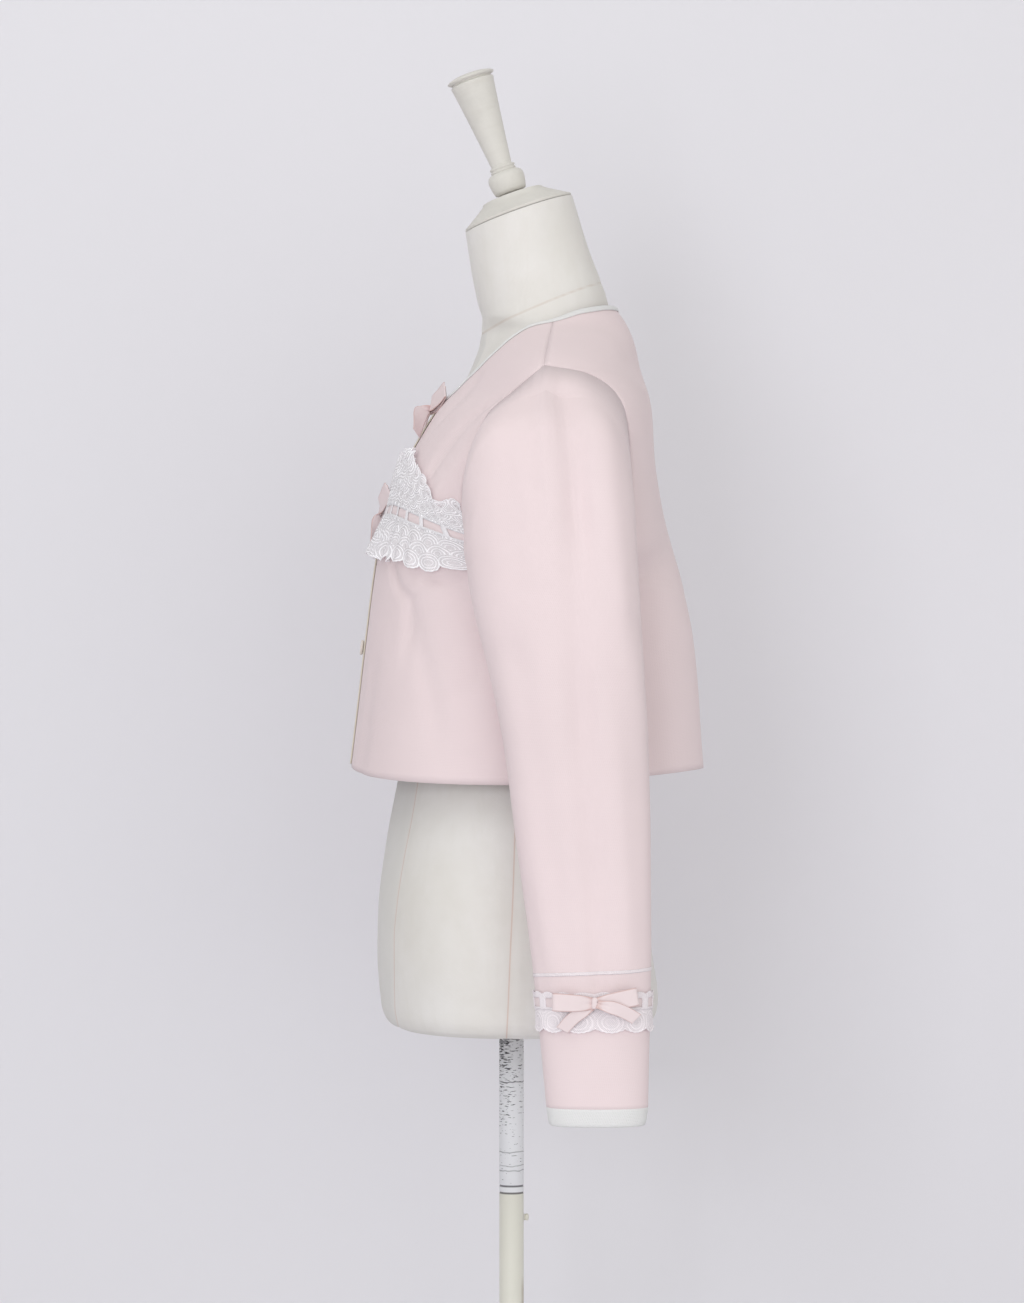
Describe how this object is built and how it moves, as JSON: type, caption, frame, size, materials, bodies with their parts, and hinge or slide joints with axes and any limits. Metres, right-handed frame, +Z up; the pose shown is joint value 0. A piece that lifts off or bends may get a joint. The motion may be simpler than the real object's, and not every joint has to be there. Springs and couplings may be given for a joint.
{
  "type": "lace cardigan on a dress form",
  "caption": "Cropped fine-knit cardigan with long sleeves, gathered lace and ribbon at the bust and cuffs, worn by a limbless dress form on a pole stand.",
  "frame": {"origin": "on the pole's axis, on the underside of the base", "axes": "+Z up; the cardigan's front faces -Y and the wearer's left is +X"},
  "size_m": [0.5082, 0.38, 1.5097],
  "materials": {
    "knit": "matte",
    "lace": "matte",
    "ribbon": "satin",
    "white_edge": "matte",
    "cream_edge": "matte",
    "pearl": "gloss",
    "linen": "matte",
    "cream_wood": "matte",
    "cream_paint": "satin"
  },
  "bodies": {
    "root": {"form_torso": "linen", "neck_cap": "cream_wood", "finial": "cream_wood", "pole": "cream_paint", "base_plate": "cream_paint", "pole_stud": "cream_paint", "back": "knit", "front_left": "knit", "front_right": "knit", "sleeve_left": "knit", "sleeve_right": "knit", "cuff_edge_left": "white_edge", "cuff_edge_right": "white_edge", "neck_trim": "white_edge", "cuff_line_left": "white_edge", "cuff_line_right": "white_edge", "front_band": "cream_edge", "button": "pearl", "lace_header_left": "lace", "lace_header_right": "lace", "lace_flounce_left": "lace", "lace_flounce_right": "lace", "cuff_lace_front_left": "lace", "cuff_lace_back_left": "lace", "cuff_lace_front_right": "lace", "cuff_lace_back_right": "lace", "bust_ribbon_left": "ribbon", "bust_ribbon_right": "ribbon", "neck_bow": "ribbon", "bust_bow": "ribbon", "cuff_ribbon_left": "ribbon", "cuff_ribbon_right": "ribbon", "cuff_bow_left": "ribbon", "cuff_bow_right": "ribbon"}
  },
  "joints": []
}
